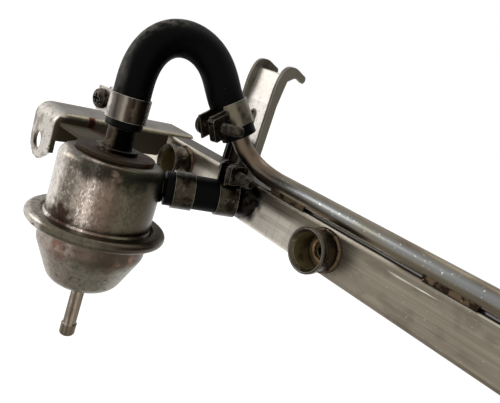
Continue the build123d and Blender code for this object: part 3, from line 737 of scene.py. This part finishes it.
# painted light on the left side and painted shade on the right side
left_light = bowl.times(bowl.fade(bowl.add(side, bowl.times(cloud, 0.006)), -0.001, -0.006), on_bowl)
right_shade = bowl.times(bowl.fade(side, -0.001, 0.005), bowl.fade(up, -0.014, -0.008))
colour = bowl.layered(
    tint(94, 88, 76),
    (rim_highlight, tint(178, 171, 161)),
    (pale_reflection, tint(126, 122, 110)),
    (collar_band, tint(98, 86, 77)),
    (bowl.times(left_light, 0.7), tint(158, 147, 136)),
    (bowl.times(right_shade, 0.7), tint(64, 56, 47)),
    (bowl.times(collar_band, bowl.fade(cloud, 0.52, 0.64)), tint(118, 92, 82)),
    (bowl.fade(grit, 0.62, 0.72), tint(74, 67, 57)),
    (bowl.times(bowl.fade(grit, 0.42, 0.6), 0.3), tint(66, 58, 48)),
    (rim_rust, tint(104, 82, 62)),
    # painted highlight along the sharp edges
    (bowl.times(sharp_edges(bowl, 0.0005), 0.7), tint(176, 170, 158))
)
bowl.surface(colour, 0.34, grit, 0.00006)
bowl.dress("regulator_bowl")

# ---- neck, collar, ports and vacuum nipple -------------------------------------------------------
# Turned steel pieces brazed into the regulator and the rail, which the hoses push on to.
# The neck and its collar carry a crust of rust, the ports are black with rubber dust, and the
# nipple is clean and dull.
rusted = Finish("rusted_steel")
cloud = rusted.noise(0.0035, EVENLY, 5.0, 0.75)
grit = rusted.noise(0.0011, EVENLY, 3.0, 0.35)
shaded = rusted.fade(rusted.reach(ACROSS, REGULATOR), -0.0035, -0.0005)
colour = rusted.layered(
    tint(84, 74, 62),
    (rusted.fade(cloud, 0.45, 0.6), tint(50, 42, 34)),
    (rusted.fade(grit, 0.58, 0.7), tint(138, 124, 106)),
    (shaded, tint(14, 12, 11)),
    # painted highlight along the sharp edges
    (rusted.times(sharp_edges(rusted, 0.0005), 0.6), tint(120, 112, 98))
)
rusted.surface(colour, 0.5, grit, 0.0004)
rusted.dress("regulator_neck", "neck_collar")

port = Finish("port_steel")
cloud = port.noise(0.003, EVENLY, 4.0, 0.55)
colour = port.layered(tint(40, 36, 32), (port.fade(cloud, 0.4, 0.6), tint(18, 16, 15)))
port.surface(colour, 0.45, cloud, 0.0001)
port.dress("inlet_port", "rail_stub")

NIPPLE_HALF = 0.003
NIPPLE_TIP = 0.0465
# painted highlights and shade in bands across the nipple
NIPPLE_LIGHT_TONES = (
    (0.0, (96, 88, 78)), (0.14, (196, 187, 173)), (0.3, (104, 92, 79)), (0.5, (176, 164, 147)),
    (0.68, (122, 110, 94)), (0.84, (72, 63, 52)), (1.0, (110, 101, 88))
)
nipple = Finish("nipple_steel")
cloud = nipple.noise(0.003, (1, 1, 3), 4.0, 0.85)
tip = nipple.fade(nipple.reach(-REGULATOR_UP, REGULATOR), NIPPLE_TIP, NIPPLE_TIP + 0.0025)
colour = nipple.layered(
    tones(nipple, nipple.reach(ACROSS, REGULATOR), NIPPLE_HALF, NIPPLE_LIGHT_TONES),
    (nipple.times(nipple.fade(cloud, 0.5, 0.65), 0.6), tint(96, 84, 70)),
    (nipple.times(tip, 0.7), tint(96, 86, 72))
)
nipple.surface(colour, 0.34, nipple.noise(0.0012), 0.00006)
nipple.dress("vacuum_nipple")

# ---- hoses ---------------------------------------------------------------------------------------
# Two short lengths of black fuel rubber, moulded round a cloth ply and pushed over the ports.
# They are matt, with a painted grey sheen on the upright leg, a painted sheen round the outside of the
# arch and small scuffs.
HOSE_LEG = Vector((-0.0773, -0.0508, 0.031))
HOSE_ARCH = Vector((-0.0665, -0.038, 0.0425))
ARCH_OUTSIDE = 0.0195
RUBBER_SHINE = 0.05
rubber = Finish("hose_rubber", 0.0)
cloud = rubber.noise(0.012, EVENLY, 4.0, 0.2)
grit = rubber.noise(0.0012, EVENLY, 3.0, 0.3)
# painted sheen: grey down the outer side of the upright leg
leg_sheen = rubber.times(
    rubber.fade(rubber.reach(-ACROSS, HOSE_LEG), 0.0025, 0.0065),
    rubber.fade(rubber.reach(UPWARD, HOSE_LEG), 0.026, 0.008),
    rubber.fade(rubber.noise(0.004, (1, 1, 2), 5.0, 0.6), 0.35, 0.6)
)
# painted sheen round the outside of the arch
sheen = rubber.times(
    rubber.fade(rubber.distance(HOSE_ARCH), ARCH_OUTSIDE, ARCH_OUTSIDE + 0.004),
    rubber.fade(rubber.reach(-ACROSS, HOSE_ARCH), -0.004, 0.01),
    rubber.fade(rubber.reach(UPWARD, HOSE_ARCH), -0.008, -0.002),
    rubber.fade(rubber.noise(0.0022, (1, 1, 1.5), 5.0, 1.3), 0.36, 0.62)
)
colour = rubber.layered(
    tint(4, 4, 4),
    (rubber.fade(cloud, 0.5, 0.75), tint(10, 10, 9)),
    (rubber.times(leg_sheen, 0.8), tint(84, 82, 78)),
    (rubber.times(sheen, 0.85), tint(98, 94, 86)),
    (rubber.fade(grit, 0.7, 0.78), tint(46, 45, 43))
)
rubber.shader.inputs["Specular IOR Level"].default_value = RUBBER_SHINE
rubber.surface(colour, 0.45, grit, 0.0001)
rubber.dress("return_hose", "inlet_hose")

# ---- hose clamps ---------------------------------------------------------------------------------
# Steel bands bent round the hoses, with ears that a screw and a square nut draw together.
# The neck's band is painted with bright and dark reflections across it and the others are dull. The
# screws and nuts are dark with old zinc and oil, and the screws have rolled threads.
BAND_HALF = 0.0086
# painted reflections: bright and dark bands across the neck's band
BAND_LIGHT_TONES = (
    (0.02, (176, 170, 160)), (0.09, (214, 208, 199)), (0.17, (112, 106, 98)), (0.27, (66, 61, 55)),
    (0.35, (96, 90, 82)), (0.44, (138, 130, 119)), (0.53, (66, 57, 50)), (0.64, (46, 37, 32)),
    (0.73, (84, 77, 65)), (0.83, (58, 53, 42)), (0.92, (48, 45, 37)), (1.0, (124, 120, 112))
)
band = Finish("band_steel")
cloud = band.noise(0.004, EVENLY, 4.0, 0.7)
wavering = band.shaken(band.reach(ACROSS, REGULATOR), cloud, 0.0015)
colour = band.layered(
    tones(band, wavering, BAND_HALF, BAND_LIGHT_TONES),
    (band.times(band.fade(cloud, 0.52, 0.68), 0.5), tint(88, 78, 66)),
    # painted highlight along the sharp edges
    (band.times(sharp_edges(band, 0.0004), 0.7), tint(196, 190, 180))
)
band.surface(colour, 0.26, cloud, 0.00006, 0.0002)
band.dress("clamp_band_neck")

PIPE_BAND_FROM = 0.015
dull = Finish("band_dull")
cloud = dull.noise(0.004, EVENLY, 4.0, 0.7)
scuffs = dull.fade(dull.noise(0.0014, EVENLY, 4.0, 1.9), 0.54, 0.7)
upper = dull.fade(dull.reach(UPWARD), PIPE_BAND_FROM, PIPE_BAND_FROM + 0.003)
colour = dull.layered(
    tint(58, 53, 45),
    (dull.fade(cloud, 0.45, 0.6), tint(34, 30, 24)),
    (dull.times(scuffs, 0.4), tint(104, 97, 84)),
    (upper, tint(104, 98, 84)),
    (dull.times(upper, dull.fade(cloud, 0.5, 0.66)), tint(78, 72, 60)),
    # painted highlight along the sharp edges
    (dull.times(sharp_edges(dull, 0.0004), 0.7), tint(168, 162, 150))
)
dull.surface(colour, 0.3, cloud, 0.0001, 0.0002)
dull.dress("clamp_band_pipe", "clamp_band_port", "clamp_band_stub")

# each clamp's screw: where it crosses between the ears, the way it runs and how far it stands out
CLAMP_SCREWS = {
    "neck": ((-0.0901906, -0.0536133, 0.0254351), (-0.2013, 0.9783, 0.0497), 0.01),
    "pipe": ((-0.0555456, -0.0253096, 0.0289017), (0.9672, 0.2114, 0.1407), 0.01),
    "port": ((-0.0728759, -0.0187811, -0.0056058), (-0.2766, 0.0579, 0.9592), 0.003),
    "stub": ((-0.0534851, -0.0086623, 0.0113777), (0.9919, -0.1265, -0.0074), 0.01)
}
SCREW_R = 0.002
NUT_FACE = 0.0033
NUT_THICK = 0.003
NUT_GAP = 0.0003
BARE_TIP = 0.001
THREAD_PITCH = 0.0008
THREAD_HALF = THREAD_PITCH * 0.42
THREAD_RISE = 0.00028
THREAD_LEAST = 0.00002
THREAD_ROOT = 0.0001
TURN_STEPS = 20
RUN_OUT_STEPS = 10

screw = Finish("screw_steel")
cloud = screw.noise(0.0025, EVENLY, 4.0, 0.4)
glints = screw.fade(screw.noise(0.001, EVENLY, 2.0, 2.2), 0.64, 0.72)
colour = screw.layered(
    tint(64, 58, 51),
    (screw.fade(cloud, 0.42, 0.6), tint(32, 28, 24)),
    (glints, tint(140, 132, 120)),
    # painted highlight along the sharp edges
    (screw.times(sharp_edges(screw, 0.0004), 0.5), tint(150, 142, 130))
)
screw.surface(colour, 0.38, cloud, 0.0002, 0.0003)


def thread(name, stand, low, high):
    """A ridge wound round the Z of stand from low to high, which runs out at both ends."""
    climb = THREAD_PITCH / TURN_STEPS
    steps = int((high - low) / THREAD_PITCH * TURN_STEPS)
    root = SCREW_R - THREAD_ROOT
    crest = SCREW_R + THREAD_RISE
    work = bmesh.new()
    closed_outline(work, ((root, low - THREAD_HALF), (crest, low), (root, low + THREAD_HALF)))
    bmesh.ops.spin(
        work, geom=work.verts[:] + work.edges[:], cent=MIDDLE, axis=UPWARD, dvec=UPWARD * climb,
        angle=2 * math.pi * steps / TURN_STEPS, steps=steps
    )
    for corner in work.verts:
        radius = corner.co.xy.length
        if radius > SCREW_R:
            step = (corner.co.z - low) / climb
            share = min(1.0, step / RUN_OUT_STEPS, (steps - step) / RUN_OUT_STEPS)
            corner.co.xy *= (SCREW_R + THREAD_RISE * share + THREAD_LEAST) / radius
    open_ends = [edge for edge in work.edges if edge.is_boundary]
    bmesh.ops.holes_fill(work, edges=open_ends, sides=3)
    new_piece(name, work, stand, screw)


for name, (origin, axis, out) in CLAMP_SCREWS.items():
    screw.dress("clamp_screw_" + name, "clamp_nut_" + name)
    low = NUT_FACE + NUT_THICK + NUT_GAP
    thread("clamp_thread_" + name, stand_at(origin, axis), low, low + out - BARE_TIP)

# ---- regulator's inner parts ---------------------------------------------------------------------
# Sealed inside: a rubber diaphragm held by the rolled flange, a plated steel valve plate and backing
# clamped to it, and a steel spring on its seat.
plated = Finish("inner_steel")
plated.surface(plated.layered(tint(190, 186, 176), (plated.noise(0.004), tint(168, 160, 146))), 0.35)
plated.dress("valve_plate", "diaphragm_backing", "spring_seat", "regulator_spring")
sealing = Finish("inner_rubber", 0.0)
sealing.surface(sealing.layered(tint(30, 29, 28), (sealing.noise(0.004), tint(44, 42, 40))), 0.7)
sealing.dress("regulator_diaphragm")
